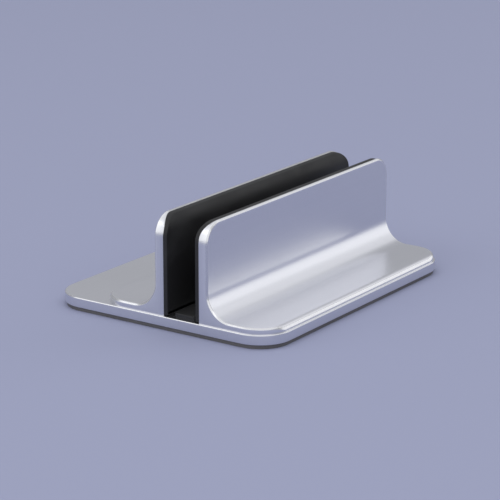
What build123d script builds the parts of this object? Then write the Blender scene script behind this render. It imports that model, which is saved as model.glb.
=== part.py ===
from build123d import *

import os
from math import asin, degrees

# Vertical laptop stand: a flat aluminium base plate on a silicone mat, with two L-shaped aluminium
# jaws on it. The front jaw is screwed down flush with the plate's front. The rear jaw slides in two
# slots of the plate and is locked from below by two screws, so that the slot between the padded
# jaws can be set from narrow to wide.
#
# Millimetres. X runs along the slot, -Y is the front and +Z is up. The origin is on the desk, under
# the middle of the base plate. The rear jaw stands where the slot has its width at rest.

# Base plate
base_length = 152.0
plate_thickness = 4.5
plate_corner_radius = 15.5
plate_top_chamfer = 0.3
plate_bottom_chamfer = 0.15

# Jaw: an upright wall that curves back to a thin edge at its top, a hollow root and a flat foot with
# a round nose
jaw_step_in = 0.9
jaw_height = 45.4
wall_thickness = 4.7
wall_corner_radius = 10.0
foot_depth = 37.1
foot_thickness = 2.8
root_radius = 11.7
nose_radius = 2.7
bright_chamfer = 0.7
inner_chamfer = 0.3
top_land = 0.3
lead_in_height = 7.0

# Silicone mat under the plate
mat_thickness = 1.9
mat_inset = 0.8
mat_cutout_margin = 0.8

# Silicone pads on the jaws and on the floor of the slot
pad_thickness = 2.0
pad_inset = 0.3
pad_floor_gap = 0.3
pad_edge_radius = 0.5
floor_pad_thickness = 2.5
floor_pad_side_gap = 0.3
floor_pad_corner_radius = 2.0

# Width of the slot between the two jaw pads
slot_at_rest = 15.0
slot_min = 12.0
slot_max = 40.0

# M4 button-head screws and washers
thread_diameter = 4.0
thread_clearance = 0.05
screw_length = 8.0
head_diameter = 7.6
head_height = 2.2
head_rim = 0.4
crown_diameter = 4.2
socket_flats = 2.5
socket_depth = 1.3
washer_diameter = 8.0
washer_bore = 4.3
washer_thickness = 0.5

# Seats of the screws in the plate and in the jaws
screw_spacing = 96.0
screw_from_inner_face = 4.0
tapped_hole_run_out = 0.8
head_sink = 0.1
head_side_gap = 0.4
shank_side_gap = 0.3
slot_end_gap = 0.4

# Sizes that follow from the ones above
jaw_length = base_length - 2 * jaw_step_in
foot_corner_radius = plate_corner_radius - jaw_step_in
lead_in_depth = wall_thickness - bright_chamfer - top_land - inner_chamfer
lead_in_radius = (lead_in_depth**2 + lead_in_height**2) / (2 * lead_in_depth)
lead_in_z = jaw_height - lead_in_height
base_depth = 2 * (jaw_step_in + foot_depth + pad_thickness) + slot_max
travel_in = slot_at_rest - slot_min
travel_out = slot_max - slot_at_rest
shank_diameter = thread_diameter - 2 * thread_clearance
shank_passage = shank_diameter + 2 * shank_side_gap
fixed_recess_depth = head_sink + head_height
fixed_recess_width = head_diameter + 2 * head_side_gap
clamp_recess_depth = fixed_recess_depth + washer_thickness
clamp_recess_width = washer_diameter + 2 * head_side_gap
clamp_slot_run = travel_in + travel_out + 2 * slot_end_gap
tapped_hole_depth = screw_length - (plate_thickness - fixed_recess_depth) + tapped_hole_run_out
pad_length = jaw_length - 2 * pad_inset
floor_pad_width = slot_min - 2 * floor_pad_side_gap

# Places
plate_bottom_z = mat_thickness
plate_top_z = plate_bottom_z + plate_thickness
head_seat_z = plate_bottom_z + fixed_recess_depth
front_face_y = -base_depth / 2 + jaw_step_in + foot_depth
rear_face_y = front_face_y + 2 * pad_thickness + slot_at_rest
floor_pad_y = front_face_y + pad_thickness + slot_min / 2
fixed_screw_y = front_face_y - screw_from_inner_face
clamp_screw_y = rear_face_y + screw_from_inner_face
clamp_slot_y = clamp_screw_y + (travel_out - travel_in) / 2
screw_xs = (-screw_spacing / 2, screw_spacing / 2)


def upright(sketch, z, height):
    """Prism with its foot at the height z."""
    return Pos(0, 0, z) * extrude(sketch, height)


def base_outline(inset):
    """Plan outline of the base, inset all round."""
    return RectangleRounded(base_length - 2 * inset, base_depth - 2 * inset, plate_corner_radius - inset)


def fixed_circles(width):
    """Plan circles round the front jaw's two screws."""
    return Sketch() + [Pos(x, fixed_screw_y) * Circle(width / 2) for x in screw_xs]


def clamp_slots(width):
    """Plan outlines of the rear jaw's two slots, which run from front to back."""
    slot = SlotCenterToCenter(clamp_slot_run, width, rotation=90)
    return Sketch() + [Pos(x, clamp_slot_y) * slot for x in screw_xs]


def make_base_plate():
    """Milled plate: bright chamfer on top, counterbored holes and slots for the screws from below."""
    plate = upright(base_outline(0), plate_bottom_z, plate_thickness)
    plate = chamfer(plate.faces().sort_by(Axis.Z)[-1].edges(), plate_top_chamfer)
    plate = chamfer(plate.faces().sort_by(Axis.Z)[0].edges(), plate_bottom_chamfer)
    plate -= upright(fixed_circles(shank_passage), plate_bottom_z, plate_thickness)
    plate -= upright(fixed_circles(fixed_recess_width), plate_bottom_z, fixed_recess_depth)
    plate -= upright(clamp_slots(shank_passage), plate_bottom_z, plate_thickness)
    plate -= upright(clamp_slots(clamp_recess_width), plate_bottom_z, clamp_recess_depth)
    return plate


def make_base_mat():
    """Silicone sheet glued under the plate, cut out round the screws so that a key reaches them."""
    outline = base_outline(mat_inset)
    outline -= fixed_circles(fixed_recess_width + 2 * mat_cutout_margin)
    outline -= clamp_slots(clamp_recess_width + 2 * mat_cutout_margin)
    return extrude(outline, mat_thickness)


def nose_cutter():
    """What is milled off along the foot's front edge, so that it ends in a quarter round."""
    nose_y = -foot_depth + nose_radius
    nose_z = foot_thickness - nose_radius
    outside_y = -foot_depth - nose_radius
    outside_z = foot_thickness + nose_radius
    edge = RadiusArc((-foot_depth, nose_z), (nose_y, foot_thickness), nose_radius)
    edge += Polyline(
        (nose_y, foot_thickness),
        (nose_y, outside_z),
        (outside_y, outside_z),
        (outside_y, nose_z),
        (-foot_depth, nose_z),
    )
    return extrude(Plane.YZ * make_face(edge), base_length / 2, both=True)


def lead_in_arc(offset, top_z):
    """Arc that leans the inner face back from the slot, from the lead-in's start up to top_z. It stands off
    the metal by the offset."""
    radius = lead_in_radius + offset
    return CenterArc((-lead_in_radius, lead_in_z), radius, 0, degrees(asin((top_z - lead_in_z) / radius)))


def wall_outline(inset):
    """Front outline of the wall, inset at its ends and its top. It runs on below the plate's top."""
    return RectangleRounded(jaw_length - 2 * inset, 2 * (jaw_height - inset), wall_corner_radius - inset)


def axial_curves(body):
    """The body's faces that are curved about the length of the jaw, from front to back."""
    curves = body.faces().filter_by(GeomType.CYLINDER)
    return curves.filter_by(lambda face: abs(face.normal_at().X) < 0.01).sort_by(Axis.Y)


def rim(faces):
    """Edges round a group of faces, without the edges that two of them share."""
    edges = [edge for face in faces for edge in face.edges()]
    return ShapeList(edge for edge in edges if sum(edge.is_same(other) for other in edges) == 1)


def make_jaw():
    """One jaw with its inner face on y = 0, its foot towards -Y and its underside on z = 0."""
    root_top = foot_thickness + root_radius
    lead_in = lead_in_arc(0, jaw_height)
    root = JernArc((-wall_thickness, root_top), (0, -1), root_radius, -90)
    section = Polyline((-foot_depth, foot_thickness), (-foot_depth, 0), (0, 0), (0, lead_in_z)) + lead_in
    section += Polyline(lead_in @ 1, (-wall_thickness, jaw_height), (-wall_thickness, root_top)) + root
    section += Line(root @ 1, (-foot_depth, foot_thickness))
    body = extrude(Plane.YZ * make_face(section), jaw_length / 2, both=True)

    # Rounded corners of the wall in front view and of the foot in plan
    body &= extrude(Plane.XZ * wall_outline(0), base_depth, both=True)
    body = fillet(body.edges().filter_by(Axis.Z).group_by(Axis.Y)[0], foot_corner_radius)

    # Bright chamfer all round the outer skin: the wall's front, the root curve and the foot's top
    wall_skin = body.faces().filter_by(Plane.XZ).sort_by(Axis.Y)[-2]
    foot_skin = body.faces().filter_by(Plane.XY).sort_by(Axis.Z)[1]
    body = chamfer(rim([wall_skin, axial_curves(body)[0], foot_skin]), bright_chamfer)

    # Small chamfer round the inner face, beside the pad, but not where the jaw stands on the plate
    inner_face = body.faces().filter_by(Plane.XZ).sort_by(Axis.Y)[-1]
    body = chamfer(rim([inner_face, axial_curves(body)[-1]]).sort_by(Axis.Z)[1:], inner_chamfer)

    # Round nose, and the two blind tapped holes
    body -= nose_cutter()
    holes = [Pos(x, -screw_from_inner_face) * Circle(thread_diameter / 2) for x in screw_xs]
    return body - extrude(Sketch() + holes, tapped_hole_depth)


def make_jaw_pad():
    """Silicone pad on a jaw's inner face and its lead-in, with a soft rim on the slot's side."""
    pad_top = jaw_height - pad_inset
    glued = lead_in_arc(0, pad_top)
    free = lead_in_arc(pad_thickness, pad_top)
    section = Polyline(free @ 0, (pad_thickness, pad_floor_gap), (0, pad_floor_gap), glued @ 0) + glued
    section += Line(glued @ 1, free @ 1) + free
    pad = extrude(Plane.YZ * make_face(section), pad_length / 2, both=True)
    pad &= extrude(Plane.XZ * wall_outline(pad_inset), base_depth, both=True)
    slot_face = pad.faces().filter_by(Plane.XZ).sort_by(Axis.Y)[-1]
    return fillet(rim([slot_face, axial_curves(pad)[-1]]), pad_edge_radius)


def make_slot_floor_pad():
    """Silicone strip on the plate between the jaws, the soft floor of the slot."""
    outline = Pos(0, floor_pad_y) * RectangleRounded(pad_length, floor_pad_width, floor_pad_corner_radius)
    pad = upright(outline, plate_top_z, floor_pad_thickness)
    return fillet(pad.faces().sort_by(Axis.Z)[-1].edges(), pad_edge_radius)


def make_screw():
    """Button-head screw with a hexagon socket: head below z = 0, shank above it. The head's dome is part
    of a sphere whose centre lies on the screw's axis."""
    shank_radius = shank_diameter / 2
    head_radius = head_diameter / 2
    crown_radius = crown_diameter / 2
    dome_rise = head_height - head_rim
    centre_z = (head_radius**2 + head_rim**2 - crown_radius**2 - head_height**2) / (2 * dome_rise)
    dome_radius = (head_radius**2 + (head_rim + centre_z) ** 2) ** 0.5
    section = Polyline(
        (crown_radius, -head_height),
        (0, -head_height),
        (0, screw_length),
        (shank_radius, screw_length),
        (shank_radius, 0),
        (head_radius, 0),
        (head_radius, -head_rim),
    )
    section += RadiusArc((head_radius, -head_rim), (crown_radius, -head_height), dome_radius)
    screw = revolve(Plane.XZ * make_face(section), Axis.Z)
    socket = RegularPolygon(socket_flats / 2, 6, major_radius=False)
    return screw - upright(socket, -head_height, socket_depth)


def make_washer():
    """Plain thin washer standing on z = 0."""
    return extrude(Circle(washer_diameter / 2) - Circle(washer_bore / 2), washer_thickness)


jaw = make_jaw()
jaw_pad = make_jaw_pad()
screw = make_screw()
washer = make_washer()
front_place = Pos(0, front_face_y, plate_top_z)
rear_place = Pos(0, rear_face_y, plate_top_z) * Rot(0, 0, 180)
left_x, right_x = screw_xs

nodes = {
    "base_plate": make_base_plate(),
    "base_mat": make_base_mat(),
    "front_jaw": front_place * jaw,
    "front_jaw_pad": front_place * jaw_pad,
    "front_jaw_screws": Compound(children=[Pos(x, fixed_screw_y, head_seat_z) * screw for x in screw_xs]),
    "slot_floor_pad": make_slot_floor_pad(),
    "rear_jaw": rear_place * jaw,
    "rear_jaw_pad": rear_place * jaw_pad,
    "clamp_washers": Compound(children=[Pos(x, clamp_screw_y, head_seat_z) * washer for x in screw_xs]),
    "left_clamp_screw": Pos(left_x, clamp_screw_y, head_seat_z) * screw,
    "right_clamp_screw": Pos(right_x, clamp_screw_y, head_seat_z) * screw,
}

os.makedirs("parts", exist_ok=True)
for name, shape in nodes.items():
    export_step(shape, f"parts/{name}.step")
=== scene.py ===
import bmesh
import bpy
import numpy as np
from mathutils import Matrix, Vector
from mathutils.geometry import tessellate_polygon


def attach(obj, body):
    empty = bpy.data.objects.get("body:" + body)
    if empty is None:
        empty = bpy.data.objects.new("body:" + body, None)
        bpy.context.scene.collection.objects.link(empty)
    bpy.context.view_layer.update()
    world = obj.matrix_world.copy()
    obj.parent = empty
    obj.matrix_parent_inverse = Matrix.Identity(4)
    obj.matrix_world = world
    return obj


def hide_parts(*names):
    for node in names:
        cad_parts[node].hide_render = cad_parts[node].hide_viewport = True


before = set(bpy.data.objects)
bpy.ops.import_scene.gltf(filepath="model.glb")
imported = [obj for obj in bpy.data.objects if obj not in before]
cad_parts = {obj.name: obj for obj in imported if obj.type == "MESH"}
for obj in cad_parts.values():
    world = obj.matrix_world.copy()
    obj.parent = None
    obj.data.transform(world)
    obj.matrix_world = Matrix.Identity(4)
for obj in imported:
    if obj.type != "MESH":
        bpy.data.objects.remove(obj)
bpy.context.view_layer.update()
scene = bpy.context.scene


# Base mat
# A die-cut sheet of dark grey silicone, 1.9 mm thick, glued under the base plate so that the stand
# doesn't slip. It is a little smaller than the plate, and open round the screws for a key.

mm = 0.001
screw_x = 48.0
fixed_screw_y = -26.0
clamp_slot_y = 12.0
clamp_slot_run = 28.8
mat_length = 150.4
mat_depth = 118.4
mat_corner = 14.7
mat_bottom = 0.0
mat_top = 1.9
mat_soft_edge = 0.25
mat_rim_strip = 1.2
mat_hole_strip = 0.6
mat_corner_steps = 24
key_hole = 10.0
key_slot = 10.4
hole_steps = 10
# Points that are nearer than this, in millimetres, count as one.
same_point = 0.001
# The most of a stretch that one softened corner takes.
corner_share = 0.45
# Edges that turn by more than this, in degrees, are shaded sharp.
sharp_angle = 32.0


def rounded_loops(width, depth, radii, insets, steps):
    """Counter-clockwise plan loops of four quarter circles, one loop for each inset: corner's centre +
    (radius - inset) (cos a, sin a). All loops have the same number of points, and points that fall
    together are left out."""
    quarter = np.arange(4)[:, None] * np.pi / 2
    angle = quarter + np.linspace(0, np.pi / 2, steps + 1)
    way = np.stack([np.cos(angle), np.sin(angle)], axis=-1)
    diagonal = quarter + np.pi / 4
    side = np.sign(np.stack([np.cos(diagonal), np.sin(diagonal)], axis=-1))
    radius = np.broadcast_to(radii, 4)[:, None, None]
    centre = side * (np.array([width, depth]) / 2 - radius)
    outer = (centre + radius * way).reshape(-1, 2)
    apart = np.linalg.norm(outer - np.roll(outer, 1, axis=0), axis=1) > same_point
    loops = centre + (radius - np.reshape(insets, (-1, 1, 1, 1))) * way
    return loops.reshape(len(loops), -1, 2)[:, apart]


def long_hole(width, run, x, y):
    """Loop function of a slot about (x, y): two half circles, their centres `run` apart from front to
    back."""
    return lambda insets: rounded_loops(width, run + width, width / 2, insets, hole_steps) + (x, y)


def round_hole(diameter, x, y):
    """Loop function of a circle about (x, y): a slot with no run."""
    return long_hole(diameter, 0, x, y)


def square_edge(top, bottom, top_strip, bottom_strip):
    """Profile of (inset, height) points round the edge of a sheet, with a strip of its two faces.
    A hole's strips are negative, because the faces lie outside its loop."""
    return [(top_strip, top), (0, top), (0, bottom), (bottom_strip, bottom)]


def softened(profile, reach, finish=None, steps=4):
    """Rounds a profile's corners: p becomes (1-t)^2 a + 2t(1-t) p + t^2 b, with a and b before and
    after it by the reach, or by the share of a short stretch that a corner may take. Returns the
    points and the finish of each stretch; a corner takes the brighter one."""
    p = np.array(profile, float)
    ahead = np.diff(p, axis=0)
    length = np.linalg.norm(ahead, axis=1, keepdims=True)
    shorter = np.minimum(length[:-1], length[1:])
    near = np.minimum(shorter * corner_share, np.reshape(reach, (-1, 1)))
    a = p[1:-1] - ahead[:-1] / length[:-1] * near
    b = p[1:-1] + ahead[1:] / length[1:] * near
    t = np.linspace(0, 1, steps + 1)[:, None]
    curve = (1 - t) ** 2 * a[:, None] + 2 * t * (1 - t) * p[1:-1, None] + t**2 * b[:, None]
    points = np.vstack([p[:1], curve.reshape(-1, 2), p[-1:]])
    finish = np.zeros(len(ahead), int) if finish is None else np.array(finish)
    corner = np.repeat(np.maximum(finish[:-1], finish[1:])[:, None], steps, axis=1)
    return points, np.concatenate([finish[:1], np.hstack([corner, finish[1:, None]]).ravel()])


def ring_quads(rings, size):
    """Quads between neighbouring closed rings that hold `size` points each."""
    k = np.arange(rings - 1)[:, None] * size
    i = np.arange(size)
    j = (i + 1) % size
    return np.stack([k + i, k + j, k + j + size, k + i + size], axis=-1).reshape(-1, 4)


def sheet_surface(*edges):
    """Sheet or plate. Each edge, the rim or a hole, is a loop function and a profile of (inset, height)
    points from the top face to the bottom face: ring k is the loop at inset k, at height k. Flat caps
    join the edges' first rings and their last rings."""
    points, faces, finishes, tops, bottoms = [], [], [], [], []
    first = 0
    for loops_at, (profile, finish) in edges:
        plan = loops_at(profile[:, 0])
        rings, size, _ = plan.shape
        height = np.repeat(profile[:, 1:], size, axis=1)
        points.append(np.dstack([plan, height]).reshape(-1, 3))
        faces += (ring_quads(rings, size) + first).tolist()
        finishes.append(np.repeat(finish, size))
        tops.append(np.arange(first, first + size))
        first += size * rings
        bottoms.append(np.arange(first - size, first))
    points = np.vstack(points)
    for loops in (tops, bottoms):
        caps = np.array(tessellate_polygon([points[loop].tolist() for loop in loops]))
        faces += np.concatenate(loops)[caps].tolist()
        finishes.append(np.zeros(len(caps), int))
    return points, faces, np.concatenate(finishes)


def new_piece(name, surface, materials, **attributes):
    """Mesh object from points in millimetres, with one value per point for each attribute. Points that
    fall together are merged, and the faces are turned outwards."""
    points, faces, finishes = surface
    mesh = bpy.data.meshes.new(name)
    mesh.from_pydata(points * mm, [], faces if isinstance(faces, list) else faces.tolist())
    for material in materials:
        mesh.materials.append(material)
    mesh.polygons.foreach_set("material_index", finishes.astype(np.int32))
    for label, values in attributes.items():
        attribute = mesh.attributes.new(label, "FLOAT", "POINT")
        attribute.data.foreach_set("value", values.astype(np.float32))
    work = bmesh.new()
    work.from_mesh(mesh)
    bmesh.ops.remove_doubles(work, verts=work.verts, dist=same_point * mm)
    bmesh.ops.recalc_face_normals(work, faces=work.faces)
    work.to_mesh(mesh)
    work.free()
    mesh.polygons.foreach_set("use_smooth", np.ones(len(mesh.polygons), bool))
    mesh.set_sharp_from_angle(angle=np.radians(sharp_angle))
    piece = bpy.data.objects.new(name, mesh)
    scene.collection.objects.link(piece)
    return piece


def add_node(tree, kind, links=None, **settings):
    """Node with its properties set. links gives inputs, by name or number, a value or another node's
    output."""
    node = tree.nodes.new(kind)
    for key, value in settings.items():
        setattr(node, key, value)
    for key, value in (links or {}).items():
        if isinstance(value, bpy.types.NodeSocket):
            tree.links.new(value, node.inputs[key])
        else:
            node.inputs[key].default_value = value
    return node


def new_group(name, inputs, outputs):
    """Empty shader node group with number inputs, and outputs that are numbers or, named Normal,
    vectors."""
    tree = bpy.data.node_groups.new(name, "ShaderNodeTree")
    for label, value in inputs.items():
        socket = tree.interface.new_socket(label, in_out="INPUT", socket_type="NodeSocketFloat")
        socket.default_value = value
    for label in outputs:
        kind = "NodeSocketVector" if label == "Normal" else "NodeSocketFloat"
        tree.interface.new_socket(label, in_out="OUTPUT", socket_type=kind)
    given = tree.nodes.new("NodeGroupInput").outputs
    return tree, given, tree.nodes.new("NodeGroupOutput").inputs


def surface_grain():
    """Fine grain: noise at the given scale, as a value and as a bump of the given depth."""
    inputs = {"Scale": 4000.0, "Depth": 0.00002, "Strength": 0.5}
    tree, given, out = new_group("surface_grain", inputs, ["Grain", "Normal"])
    place = add_node(tree, "ShaderNodeTexCoord").outputs["Object"]
    look = {"Vector": place, "Scale": given["Scale"], "Detail": 3.0, "Roughness": 0.62}
    noise = add_node(tree, "ShaderNodeTexNoise", look).outputs["Fac"]
    relief = {"Height": noise, "Distance": given["Depth"], "Strength": given["Strength"]}
    tree.links.new(noise, out["Grain"])
    tree.links.new(add_node(tree, "ShaderNodeBump", relief).outputs["Normal"], out["Normal"])
    return tree


def handling_marks():
    """Uneven marks of handling and dust: a soft noise, with its middle range spread from 0 to 1."""
    inputs = {"Scale": 40.0, "Low": 0.4, "High": 0.7}
    tree, given, out = new_group("handling_marks", inputs, ["Mask"])
    place = add_node(tree, "ShaderNodeTexCoord").outputs["Object"]
    look = {"Vector": place, "Scale": given["Scale"], "Detail": 5.0, "Distortion": 0.6}
    noise = add_node(tree, "ShaderNodeTexNoise", look).outputs["Fac"]
    spread = {"Value": noise, "From Min": given["Low"], "From Max": given["High"]}
    mask = add_node(tree, "ShaderNodeMapRange", spread, interpolation_type="SMOOTHSTEP")
    tree.links.new(mask.outputs["Result"], out["Mask"])
    return tree


grain_group = surface_grain()
marks_group = handling_marks()


def new_material(name, metallic=0.0):
    """Material, its node tree and its shader's inputs."""
    material = bpy.data.materials.new(name)
    material.use_nodes = True
    shader = material.node_tree.nodes["Principled BSDF"].inputs
    shader["Metallic"].default_value = metallic
    return material, material.node_tree, shader


def grain_in(tree, scale, depth, strength):
    """The grain group placed in a material, as its value and its normal."""
    values = {"Scale": scale, "Depth": depth, "Strength": strength}
    node = add_node(tree, "ShaderNodeGroup", values, node_tree=grain_group)
    return node.outputs["Grain"], node.outputs["Normal"]


def marks_in(tree, scale, low, high):
    """The marks group placed in a material, as its mask."""
    values = {"Scale": scale, "Low": low, "High": high}
    return add_node(tree, "ShaderNodeGroup", values, node_tree=marks_group).outputs["Mask"]


def between_colours(tree, mask, low, high):
    """Colour that goes from low to high with the mask. Either may be another node's colour."""
    mix = add_node(tree, "ShaderNodeMix", {"Factor": mask}, data_type="RGBA")
    # The node repeats its socket names for each kind of value, so its colours go by number.
    for socket, colour in ((mix.inputs[6], low), (mix.inputs[7], high)):
        if isinstance(colour, bpy.types.NodeSocket):
            tree.links.new(colour, socket)
        else:
            socket.default_value = (*colour, 1.0)
    return mix.outputs[2]


def between_values(tree, mask, low, high):
    """Number that goes from low to high with the mask."""
    spread = {"Value": mask, "To Min": low, "To Max": high}
    return add_node(tree, "ShaderNodeMapRange", spread).outputs["Result"]


def times(tree, first, second):
    """Product of two values."""
    return add_node(tree, "ShaderNodeMath", {0: first, 1: second}, operation="MULTIPLY").outputs[0]


def matt_silicone(name, clean, dusty, grain_scale, grain_depth):
    """Matt silicone with a fine moulded grain, and a little dust where it has been handled."""
    material, tree, shader = new_material(name)
    grain, normal = grain_in(tree, scale=grain_scale, depth=grain_depth, strength=0.6)
    dust = marks_in(tree, scale=55.0, low=0.42, high=0.78)
    colour = between_colours(tree, times(tree, grain, dust), low=clean, high=dusty)
    tree.links.new(colour, shader["Base Color"])
    tree.links.new(between_values(tree, dust, low=0.52, high=0.74), shader["Roughness"])
    tree.links.new(normal, shader["Normal"])
    shader["Specular IOR Level"].default_value = 0.38
    return material


def mat_outline(insets):
    """Loops of the mat's outline."""
    return rounded_loops(mat_length, mat_depth, mat_corner, insets, mat_corner_steps)


mat_silicone = matt_silicone(
    "mat_silicone",
    clean=(0.122, 0.118, 0.12),
    dusty=(0.165, 0.16, 0.16),
    grain_scale=2600.0,
    grain_depth=0.00006,
)
mat_rim = square_edge(mat_top, mat_bottom, mat_rim_strip, mat_rim_strip)
mat_hole_wall = square_edge(mat_top, mat_bottom, -mat_hole_strip, -mat_hole_strip)
mat_holes = [round_hole(key_hole, x, fixed_screw_y) for x in (-screw_x, screw_x)]
mat_holes += [long_hole(key_slot, clamp_slot_run, x, clamp_slot_y) for x in (-screw_x, screw_x)]
mat_sheet = new_piece(
    "mat_sheet",
    sheet_surface(
        (mat_outline, softened(mat_rim, mat_soft_edge)),
        *[(hole, softened(mat_hole_wall, mat_soft_edge)) for hole in mat_holes],
    ),
    [mat_silicone],
)
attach(mat_sheet, "stand")
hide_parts("base_mat")


# Base plate
# A plate of aluminium, 4.5 mm thick, milled to its outline, bead-blasted and anodised. The chamfer
# round its top is cut after that and shines. Holes and slots for the screws are counterbored from
# below.

plate_length = 152.0
plate_depth = 120.0
plate_corner = 15.5
plate_bottom = 1.9
plate_top = 6.4
plate_chamfer = 0.3
plate_bottom_chamfer = 0.15
plate_soft_edge = 0.06
plate_top_strip = 1.5
plate_bottom_strip = 1.2
plate_corner_steps = 28
shank_passage = 4.5
fixed_recess = 8.4
fixed_ledge = 4.2
clamp_recess = 8.8
clamp_ledge = 4.7
hole_strip = 0.5
hole_soft_edge = 0.12


def blasted_aluminium():
    """Bead-blasted, clear anodised aluminium: fine pits, faint lines along the drawn profile, soft
    marks of handling, and a painted highlight: a lighter rim where the attribute says a cut edge is
    near."""
    line_strength = 0.35
    grain_roughness = 0.06
    material, tree, shader = new_material("blasted_aluminium", metallic=1.0)
    grain, normal = grain_in(tree, scale=2600.0, depth=0.00002, strength=0.22)
    marks = marks_in(tree, scale=14.0, low=0.30, high=0.75)
    place = add_node(tree, "ShaderNodeTexCoord").outputs["Object"]
    along = {"Vector": place, "Scale": (5.0, 700.0, 700.0)}
    drawn = add_node(tree, "ShaderNodeMapping", along).outputs["Vector"]
    fine = {"Vector": drawn, "Scale": 1.0, "Detail": 2.0}
    lines = add_node(tree, "ShaderNodeTexNoise", fine).outputs["Fac"]
    pitted = between_colours(tree, grain, low=(0.715, 0.722, 0.762), high=(0.80, 0.807, 0.85))
    faint = times(tree, lines, line_strength)
    streaked = between_colours(tree, faint, low=pitted, high=(0.70, 0.708, 0.748))
    # Painted highlight: the colour turns lighter where the point attribute says a cut edge is near.
    edge = add_node(tree, "ShaderNodeAttribute", attribute_name="edge").outputs["Fac"]
    colour = between_colours(tree, edge, low=streaked, high=(0.86, 0.865, 0.885))
    tree.links.new(colour, shader["Base Color"])
    soft = between_values(tree, marks, low=0.255, high=0.285)
    terms = {0: grain, 1: grain_roughness, 2: soft}
    rough = add_node(tree, "ShaderNodeMath", terms, operation="MULTIPLY_ADD").outputs[0]
    tree.links.new(rough, shader["Roughness"])
    tree.links.new(normal, shader["Normal"])
    return material


def bright_cut():
    """Bare metal of a chamfer that is cut after anodising, with fine tool marks."""
    material, tree, shader = new_material("bright_cut", metallic=1.0)
    grain, normal = grain_in(tree, scale=7000.0, depth=0.000005, strength=0.25)
    marks = marks_in(tree, scale=90.0, low=0.35, high=0.75)
    colour = between_colours(tree, grain, low=(0.71, 0.715, 0.74), high=(0.77, 0.775, 0.79))
    tree.links.new(colour, shader["Base Color"])
    tree.links.new(between_values(tree, marks, low=0.20, high=0.28), shader["Roughness"])
    tree.links.new(normal, shader["Normal"])
    return material


def plate_outline(insets):
    """Loops of the plate's outline."""
    return rounded_loops(plate_length, plate_depth, plate_corner, insets, plate_corner_steps)


def counterbore(narrow, wide, ledge):
    """Wall of a counterbored hole: straight down to the ledge, out to the recess, and down again."""
    out = -(wide - narrow) / 2
    passage = [(-hole_strip, plate_top), (0, plate_top), (0, ledge)]
    recess = [(out, ledge), (out, plate_bottom), (out - hole_strip, plate_bottom)]
    return softened(passage + recess, hole_soft_edge)


aluminium = blasted_aluminium()
cut_edge = bright_cut()
plate_rim = [
    (plate_top_strip, plate_top),
    (plate_chamfer, plate_top),
    (0, plate_top - plate_chamfer),
    (0, plate_bottom + plate_bottom_chamfer),
    (plate_bottom_chamfer, plate_bottom),
    (plate_bottom_strip, plate_bottom),
]
plate_rim_finish = [0, 1, 0, 0, 0]
fixed_wall = counterbore(shank_passage, fixed_recess, fixed_ledge)
clamp_wall = counterbore(shank_passage, clamp_recess, clamp_ledge)
plate_holes = [
    (round_hole(shank_passage, x, fixed_screw_y), fixed_wall) for x in (-screw_x, screw_x)
]
plate_holes += [
    (long_hole(shank_passage, clamp_slot_run, x, clamp_slot_y), clamp_wall)
    for x in (-screw_x, screw_x)
]
plate_body = new_piece(
    "plate_body",
    sheet_surface(
        (plate_outline, softened(plate_rim, plate_soft_edge, plate_rim_finish)), *plate_holes
    ),
    [aluminium, cut_edge],
)
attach(plate_body, "stand")
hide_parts("base_plate")


# Front jaw
# An L-shaped aluminium profile, drawn through a die, sawn to length and milled to its rounded outline,
# then blasted and anodised. A bright edge is cut all round its outer skin, and the inner face curves
# back to a thin edge at the top. Two screws hold it from below.

jaw_length = 150.2
jaw_height = 45.4
wall = 4.7
wall_corner = 10.0
foot_depth = 37.1
foot_corner = 14.6
foot = 2.8
root = 11.7
nose = 2.7
chamfer = 0.7
inner_chamfer = 0.3
lead_in_start = 38.4
lead_in_radius = 8.906
root_start = jaw_height - foot - root
root_end = root_start + root * np.pi / 2
skin_length = root_end + foot_depth - wall - root
corner_points = 25
root_points = 33
front_inner_face = -22.0
# The profile that is carried round: a strip of the skin, the chamfer, and a strip of the end face.
skin_strip = 3.5
end_strip = 0.25
jaw_soft_edge = 0.2
jaw_edge_steps = 5
longest_stretch = 0.3
# The painted highlight beside the chamfer fades inwards over this many millimetres.
highlight_fade = 0.4


def jaw_outline(insets):
    """Outline of the outer skin rolled out flat, counter-clockwise, one loop for each inset: along the
    jaw, and up from the foot's edge. Its straight sides have points where the skin bends."""
    insets = np.reshape(insets, (-1, 1))
    radii = (wall_corner, wall_corner, foot_corner, foot_corner)
    corners = rounded_loops(jaw_length, skin_length, radii, insets, corner_points - 1)
    upper, lower = np.split(corners, 2, axis=1)
    down = skin_length / 2 - np.linspace(root_start, root_end, root_points)
    side = jaw_length / 2 - insets
    left = np.stack(np.broadcast_arrays(-side, down), axis=-1)
    right = np.stack(np.broadcast_arrays(side, down[::-1]), axis=-1)
    return np.concatenate([upper, left, lower, right], axis=1)


def nose_left(y):
    """Share of the nose's height that its quarter circle leaves at y: sqrt(1 - (1 - t)^2), where t goes
    from 0 at the foot's front edge to 1 where the nose begins."""
    t = np.clip((y + foot_depth) / nose, 0, 1)
    return np.sqrt(1 - (1 - t) ** 2)


def on_skin(flat, depth):
    """Bends the flat outline and sinks it by depth: straight down the wall, a quarter circle of the
    root radius, then out along the foot, which falls away along the nose."""
    s = skin_length / 2 - flat[..., 1]
    turn = np.clip((s - root_start) / root, 0, np.pi / 2)
    y = -wall - root * (1 - np.cos(turn)) - np.maximum(s - root_end, 0) + depth * np.cos(turn)
    z = jaw_height - np.minimum(s, root_start) - (root + depth) * np.sin(turn)
    return np.stack([flat[..., 0], y, z - nose * (1 - nose_left(y))], axis=-1)


def lead_in(z, thickness):
    """Place across the slot of a layer on the inner face at height z: sqrt((R + thickness)^2 - rise^2)
    - R, where rise counts from the start of the lead-in, and is 0 below it."""
    rise = np.maximum(z - lead_in_start, 0)
    return np.sqrt((lead_in_radius + thickness) ** 2 - rise**2) - lead_in_radius


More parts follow.
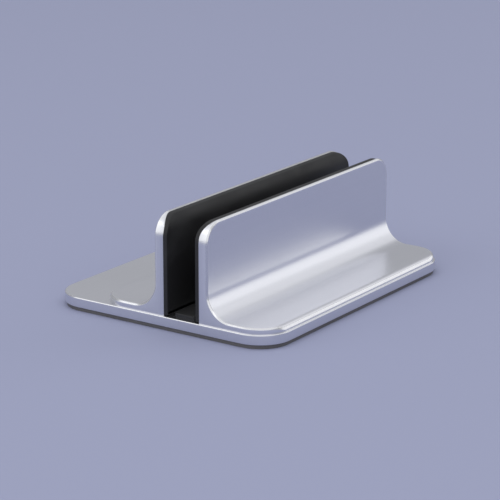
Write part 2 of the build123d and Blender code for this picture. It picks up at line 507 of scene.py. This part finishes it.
def on_back(flat, step):
    """The same outline on the inner face and the underside: down the inner face, moved by -step, to the
    inside corner half way round the root, and out along the underside. Also says which points are on
    the face."""
    s = skin_length / 2 - flat[..., 1]
    part = np.clip((s - root_start) / (root_end - root_start), 0, 1)
    out = (wall + root - step) * np.clip(2 * part - 1, 0, 1) + np.maximum(s - root_end, 0)
    z = (jaw_height - np.minimum(s, root_start)) * np.maximum(1 - 2 * part, 0)
    return np.stack([flat[..., 0], lead_in(z, 0) - step - out, z], axis=-1), part < 0.5


def refined(points, finish, longest):
    """Divides the stretches of a profile evenly, so that none is longer than `longest`."""
    length = np.linalg.norm(np.diff(points, axis=0), axis=1)
    shares = np.ceil(length / longest).astype(int)
    stretch = np.repeat(np.arange(len(shares)), shares)
    before = np.repeat(np.cumsum(shares) - shares, shares)
    share = (np.arange(len(stretch)) - before) / shares[stretch]
    inner = points[stretch] + (points[stretch + 1] - points[stretch]) * share[:, None]
    return np.vstack([inner, points[-1:]]), finish[stretch]


def spanned_rings(rings, size, corner):
    """Quads between neighbouring closed rings of `size` points each, then quads that span the first
    ring and the last from their left half to their right half. Each ring begins with its upper right
    corner, of `corner` points."""
    left = np.arange(corner, corner + size // 2)
    right = np.roll(np.arange(size), -corner)[::-1][: size // 2]
    span = np.stack([left[:-1], left[1:], right[1:], right[:-1]], axis=1)
    return np.vstack([ring_quads(rings, size), span, span + size * (rings - 1)])


def jaw_surface():
    """The edge's profile carried round the bent outline, then the end faces and the inner chamfer,
    with the skin and the back spanned from side to side. Round the foot's corners the profile's depth
    shrinks with the height that the nose leaves, so that the chamfer follows the edge down and runs
    out into the nose, whose lowest part keeps the bright finish. The attribute of the painted
    highlight, a lighter rim, fades inwards from the chamfer."""
    sharp = [(skin_strip, 0), (chamfer, 0), (0, chamfer), (0, chamfer + end_strip)]
    soft = softened(sharp, jaw_soft_edge, [0, 1, 0], jaw_edge_steps)
    profile, finish = refined(*soft, longest_stretch)
    left = nose_left(on_skin(jaw_outline(0), 0)[0, :, 1])
    skin = on_skin(jaw_outline(profile[:, 0]), profile[:, 1:] * left)
    ends, _ = on_back(jaw_outline(0), inner_chamfer)
    back, on_face = on_back(jaw_outline(inner_chamfer), 0)
    points = np.concatenate([skin, ends, back])
    rings, size, _ = points.shape
    # Painted highlight along the chamfer: full at it, fading inwards, and smaller where the nose falls
    # away.
    near = np.exp(-np.maximum(profile[:, :1] - chamfer, 0) / highlight_fade) * left
    edge = np.concatenate([near.ravel(), np.zeros(2 * size)])
    faces = spanned_rings(rings, size, corner_points)
    finishes = np.zeros(len(faces), int)
    finishes[: len(finish) * size] = np.repeat(finish, size)
    finishes[(rings - 2) * size : (rings - 1) * size] = on_face[0]
    return points.reshape(-1, 3), faces, finishes, edge


jaw_points, jaw_faces, jaw_finish, jaw_edge = jaw_surface()
front_jaw = new_piece(
    "front_jaw_body",
    (jaw_points + (0, front_inner_face, plate_top), jaw_faces, jaw_finish),
    [aluminium, cut_edge],
    edge=jaw_edge,
)
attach(front_jaw, "stand")
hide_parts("front_jaw")


# Front jaw's screws
# Two M4 button-head screws of nickel-plated steel, with hexagon sockets. They sit in the plate's
# round recesses, just inside its underside, and are screwed up into the front jaw.

head_seat = 4.2
head_radius = 3.8
head_height = 2.2
crown_radius = 2.1
crown_strip = 0.1
dome_centre = 1.486
dome_radius = 4.242
dome_rows = 12
rim_bevel_height = 0.1
rim_bevel_width = 0.07
socket_flats = 2.5
socket_depth = 1.3
socket_cone = 0.25
mouth_bevel = 0.15
mouth_step = 0.02
neck_fillet = 0.2
shank_radius = 1.95
shank_length = 8.0
tip_chamfer = 0.5
screw_columns = 60
screw_angle = np.linspace(0, 2 * np.pi, screw_columns, endpoint=False)


def turned_surface(r, z, x, y):
    """Surface of rows about an upright axis at (x, y): (x + r cos a, y + r sin a, z), where r may also
    change with the angle a."""
    around = [x + r * np.cos(screw_angle), y + r * np.sin(screw_angle), z[:, None] + 0 * screw_angle]
    quads = ring_quads(len(z), screw_columns)
    return np.stack(around, axis=-1).reshape(-1, 3), quads, np.zeros(len(quads), int)


def screw_surface(x, y):
    """Screw with its head's seat at its height in the plate: the socket's floor and its hexagon walls,
    where r = (flats / 2) / cos(angle from the middle of the nearest flat), then the crown, the dome as
    part of a sphere, the rim, the seat, the shank and its tip."""
    hexagon = socket_flats / 2 / np.cos(screw_angle % (np.pi / 3) - np.pi / 6)
    mouth = socket_flats / 2 / np.cos(np.pi / 6)
    floor_z = socket_depth - head_height
    inside_r = np.array([[0], [1], [1]]) * hexagon
    inside_z = [floor_z + socket_cone, floor_z, mouth_bevel - head_height]
    crown_r = [mouth + mouth_step, mouth + crown_strip, crown_radius - crown_strip]
    crown = np.column_stack([crown_r, np.full(3, -head_height)])
    reach = np.arcsin(np.array([crown_radius, head_radius]) / dome_radius)
    tilt = np.linspace(*reach, dome_rows)
    dome = np.column_stack([np.sin(tilt), -np.cos(tilt)]) * dome_radius + (0, dome_centre)
    rim = [(head_radius, -rim_bevel_height), (head_radius - rim_bevel_width, 0)]
    neck = [(shank_radius + neck_fillet, 0), (shank_radius, neck_fillet)]
    tip = [
        (shank_radius, shank_length - tip_chamfer),
        (shank_radius - tip_chamfer, shank_length),
        (0, shank_length),
    ]
    outside = np.vstack([crown, dome, rim, neck, tip])
    r = np.vstack([inside_r, np.repeat(outside[:, :1], screw_columns, axis=1)])
    z = np.concatenate([inside_z, outside[:, 1]])
    return turned_surface(r, head_seat + z, x, y)


def pair(first, second):
    """Two like turned surfaces in one piece."""
    faces = np.vstack([first[1], second[1] + len(first[0])])
    return np.vstack([first[0], second[0]]), faces, np.concatenate([first[2], second[2]])


def from_axis(points, y):
    """Distance of each point from the nearer screw's axis, for marks of turning."""
    return np.hypot(np.abs(points[:, 0]) - screw_x, points[:, 1] - y)


def nickel_steel():
    """Nickel-plated steel, with rings left by the lathe that follow the distance from the axis."""
    rings_per_mm = 11.0
    material, tree, shader = new_material("nickel_steel", metallic=1.0)
    grain, normal = grain_in(tree, scale=5200.0, depth=0.00001, strength=0.2)
    marks = marks_in(tree, scale=150.0, low=0.4, high=0.7)
    turned = add_node(tree, "ShaderNodeAttribute", attribute_name="turned").outputs["Fac"]
    outwards = {"W": times(tree, turned, rings_per_mm)}
    rings = add_node(tree, "ShaderNodeTexNoise", outwards, noise_dimensions="1D").outputs["Fac"]
    tone = between_colours(tree, rings, low=(0.56, 0.545, 0.52), high=(0.67, 0.655, 0.625))
    stained = times(tree, marks, grain)
    colour = between_colours(tree, stained, low=tone, high=(0.50, 0.48, 0.45))
    tree.links.new(colour, shader["Base Color"])
    tree.links.new(between_values(tree, rings, low=0.20, high=0.38), shader["Roughness"])
    tree.links.new(normal, shader["Normal"])
    return material


steel = nickel_steel()
front_screw_pair = pair(*[screw_surface(x, fixed_screw_y) for x in (-screw_x, screw_x)])
front_screws = new_piece(
    "front_screw_pair",
    front_screw_pair,
    [steel],
    turned=from_axis(front_screw_pair[0], fixed_screw_y),
)
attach(front_screws, "stand")
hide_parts("front_jaw_screws")


# Front jaw's pad
# A sheet of matt black silicone, 2 mm thick, moulded with a soft rim and glued to the jaw's inner face
# and up its lead-in, just inside the thin metal edge.

pad_length = 149.6
pad_height = 44.8
pad_corner = 9.7
pad_lower_corner = 0.6
pad_thickness = 2.0
pad_middle = 22.7
pad_face_strip = 1.6
pad_glued_strip = 0.8
pad_soft_edges = (0.5, 0.1)
pad_edge_steps = 6
pad_corner_points = 21
pad_rim = square_edge(pad_thickness, 0, pad_face_strip, pad_glued_strip)
pad_silicone = matt_silicone(
    "pad_silicone",
    clean=(0.017, 0.017, 0.018),
    dusty=(0.036, 0.036, 0.038),
    grain_scale=3200.0,
    grain_depth=0.00004,
)


def pad_surface(inner_face, towards):
    """Upright sheet on a jaw's inner face: its outline lies along x and z, its thickness towards the
    slot, and it leans back with the lead-in. Its two faces are spanned from side to side."""
    radii = (pad_corner, pad_corner, pad_lower_corner, pad_lower_corner)
    profile, _ = softened(pad_rim, pad_soft_edges, steps=pad_edge_steps)
    loops = rounded_loops(pad_length, pad_height, radii, profile[:, 0], pad_corner_points - 1)
    rings, size, _ = loops.shape
    height = pad_middle + loops[..., 1]
    y = inner_face + towards * lead_in(height, profile[:, 1:])
    points = np.stack([loops[..., 0], y, plate_top + height], axis=-1).reshape(-1, 3)
    faces = spanned_rings(rings, size, pad_corner_points)
    return points, faces, np.zeros(len(faces), int)


front_pad = new_piece("front_pad_sheet", pad_surface(front_inner_face, 1), [pad_silicone])
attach(front_pad, "stand")
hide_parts("front_jaw_pad")


# Slot floor pad
# A strip of the same silicone, 2.5 mm thick, with a soft upper edge. It is glued to the plate between
# the jaws, so that what stands in the slot doesn't touch metal.

floor_pad_width = 11.4
floor_pad_corner = 2.0
floor_pad_top = 8.9
floor_pad_y = -14.0
floor_pad_face_strip = 1.4
floor_pad_corner_steps = 12
floor_pad_rim = square_edge(floor_pad_top, plate_top, floor_pad_face_strip, pad_glued_strip)


def floor_pad_outline(insets):
    """Loops of the strip's outline, at its place between the jaws."""
    size = (pad_length, floor_pad_width)
    return rounded_loops(*size, floor_pad_corner, insets, floor_pad_corner_steps) + (0, floor_pad_y)


floor_pad = new_piece(
    "floor_pad_strip",
    sheet_surface(
        (floor_pad_outline, softened(floor_pad_rim, pad_soft_edges, steps=pad_edge_steps))
    ),
    [pad_silicone],
)
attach(floor_pad, "stand")
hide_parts("slot_floor_pad")


# Rear jaw
# The same aluminium profile turned round. It slides on the plate, and is locked from below by two
# screws through the plate's slots.

rear_inner_face = -3.0
rear_jaw = new_piece(
    "rear_jaw_body",
    (jaw_points * (-1, -1, 1) + (0, rear_inner_face, plate_top), jaw_faces, jaw_finish),
    [aluminium, cut_edge],
    edge=jaw_edge,
)
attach(rear_jaw, "sliding_jaw")
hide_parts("rear_jaw")


# Rear jaw's pad
# The same sheet of black silicone as the front jaw's. It is glued to the rear jaw's inner face, and
# slides with the jaw.

rear_pad = new_piece("rear_pad_sheet", pad_surface(rear_inner_face, -1), [pad_silicone])
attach(rear_pad, "sliding_jaw")
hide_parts("rear_jaw_pad")


# Clamp washers
# Two plain steel washers, stamped and nickel-plated. They slide close under the ledges of the plate's
# slots, and spread the screws' clamping force.

clamp_screw_y = 1.0
washer_radius = 4.0
washer_middle = 3.0
washer_bore = 2.15
washer_top = 4.69
washer_soft_edge = 0.1
washer_outline = [
    (washer_middle, washer_top),
    (washer_radius, washer_top),
    (washer_radius, head_seat),
    (washer_bore, head_seat),
    (washer_bore, washer_top),
    (washer_middle, washer_top),
]
washer_profile, _ = softened(washer_outline, washer_soft_edge)
washer_r = washer_profile[:, :1]
washer_z = washer_profile[:, 1]
washer_pair = pair(
    *[turned_surface(washer_r, washer_z, x, clamp_screw_y) for x in (-screw_x, screw_x)]
)
washers = new_piece(
    "washer_pair", washer_pair, [steel], turned=from_axis(washer_pair[0], clamp_screw_y)
)
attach(washers, "sliding_jaw")
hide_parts("clamp_washers")


# Clamp screws
# Two more of the same screws. They pass through the washers and slots into the rear jaw, and each turns
# by itself to lock or free it.

for side, x in (("left", -screw_x), ("right", screw_x)):
    surface = screw_surface(x, clamp_screw_y)
    turning = from_axis(surface[0], clamp_screw_y)
    clamp_screw = new_piece(side + "_lock_screw", surface, [steel], turned=turning)
    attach(clamp_screw, side + "_screw")
    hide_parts(side + "_clamp_screw")


# Studio
# A plain pale floor, a wide soft lamp behind on the left, another overhead, two smaller soft panels in
# front on the right that the root and the foot mirror, and one behind the camera for the near cut
# edges. The camera stands where the photograph was taken from.

floor_reach = 6.0
floor_corners = np.array([(-1, -1, 0), (1, -1, 0), (1, 1, 0), (-1, 1, 0)]) * floor_reach
floor_mesh = bpy.data.meshes.new("floor")
floor_mesh.from_pydata(floor_corners.tolist(), [], [(0, 1, 2, 3)])
floor = bpy.data.objects.new("floor", floor_mesh)
scene.collection.objects.link(floor)
floor_paper, _, floor_shader = new_material("floor_paper")
floor_shader["Base Color"].default_value = (0.35, 0.373, 0.53, 1.0)
floor_shader["Roughness"].default_value = 0.85
floor_mesh.materials.append(floor_paper)

world = bpy.data.worlds.new("studio")
scene.world = world
world.use_nodes = True
sky = world.node_tree.nodes["Background"].inputs
sky["Color"].default_value = (0.93, 0.945, 1.0, 1.0)
sky["Strength"].default_value = 0.45


def pointed(thing, place, aim):
    """Puts a lamp or a camera at a place and points it at another."""
    holder = bpy.data.objects.new(thing.name, thing)
    holder.location = place
    holder.rotation_euler = (Vector(aim) - Vector(place)).to_track_quat("-Z", "Y").to_euler()
    scene.collection.objects.link(holder)
    return holder


def soft_lamp(name, place, aim, width, height, brightness):
    """Rectangular soft lamp. Its power is pi times its area times its brightness."""
    lamp = bpy.data.lights.new(name, "AREA")
    lamp.shape = "RECTANGLE"
    lamp.size = width
    lamp.size_y = height
    lamp.energy = np.pi * width * height * brightness
    pointed(lamp, place, aim)


stand_middle = (0, 0, 0.02)
soft_lamp("key", (-1.8, 0.95, 1.12), (0, 0, 0), width=3.4, height=2.1, brightness=0.66)
soft_lamp("overhead", (0.1, 0.1, 2.0), (0.1, 0.1, 0), width=4.2, height=4.0, brightness=0.5)
soft_lamp("low_panel", (1.7, -1.15, 0.45), stand_middle, width=1.9, height=0.9, brightness=0.72)
soft_lamp("high_panel", (1.6, -0.65, 1.12), stand_middle, width=1.5, height=0.72, brightness=0.44)
soft_lamp("front_panel", (-1.0, -1.05, 0.75), stand_middle, width=1.7, height=1.5, brightness=0.6)

camera_data = bpy.data.cameras.new("photo_camera")
camera_data.lens = 156.5
camera_data.clip_start = 0.05
scene.camera = pointed(camera_data, (-0.8016, -0.5487, 0.3053), (-0.0027, 0.0006, 0.0184))
scene.view_settings.view_transform = "Standard"
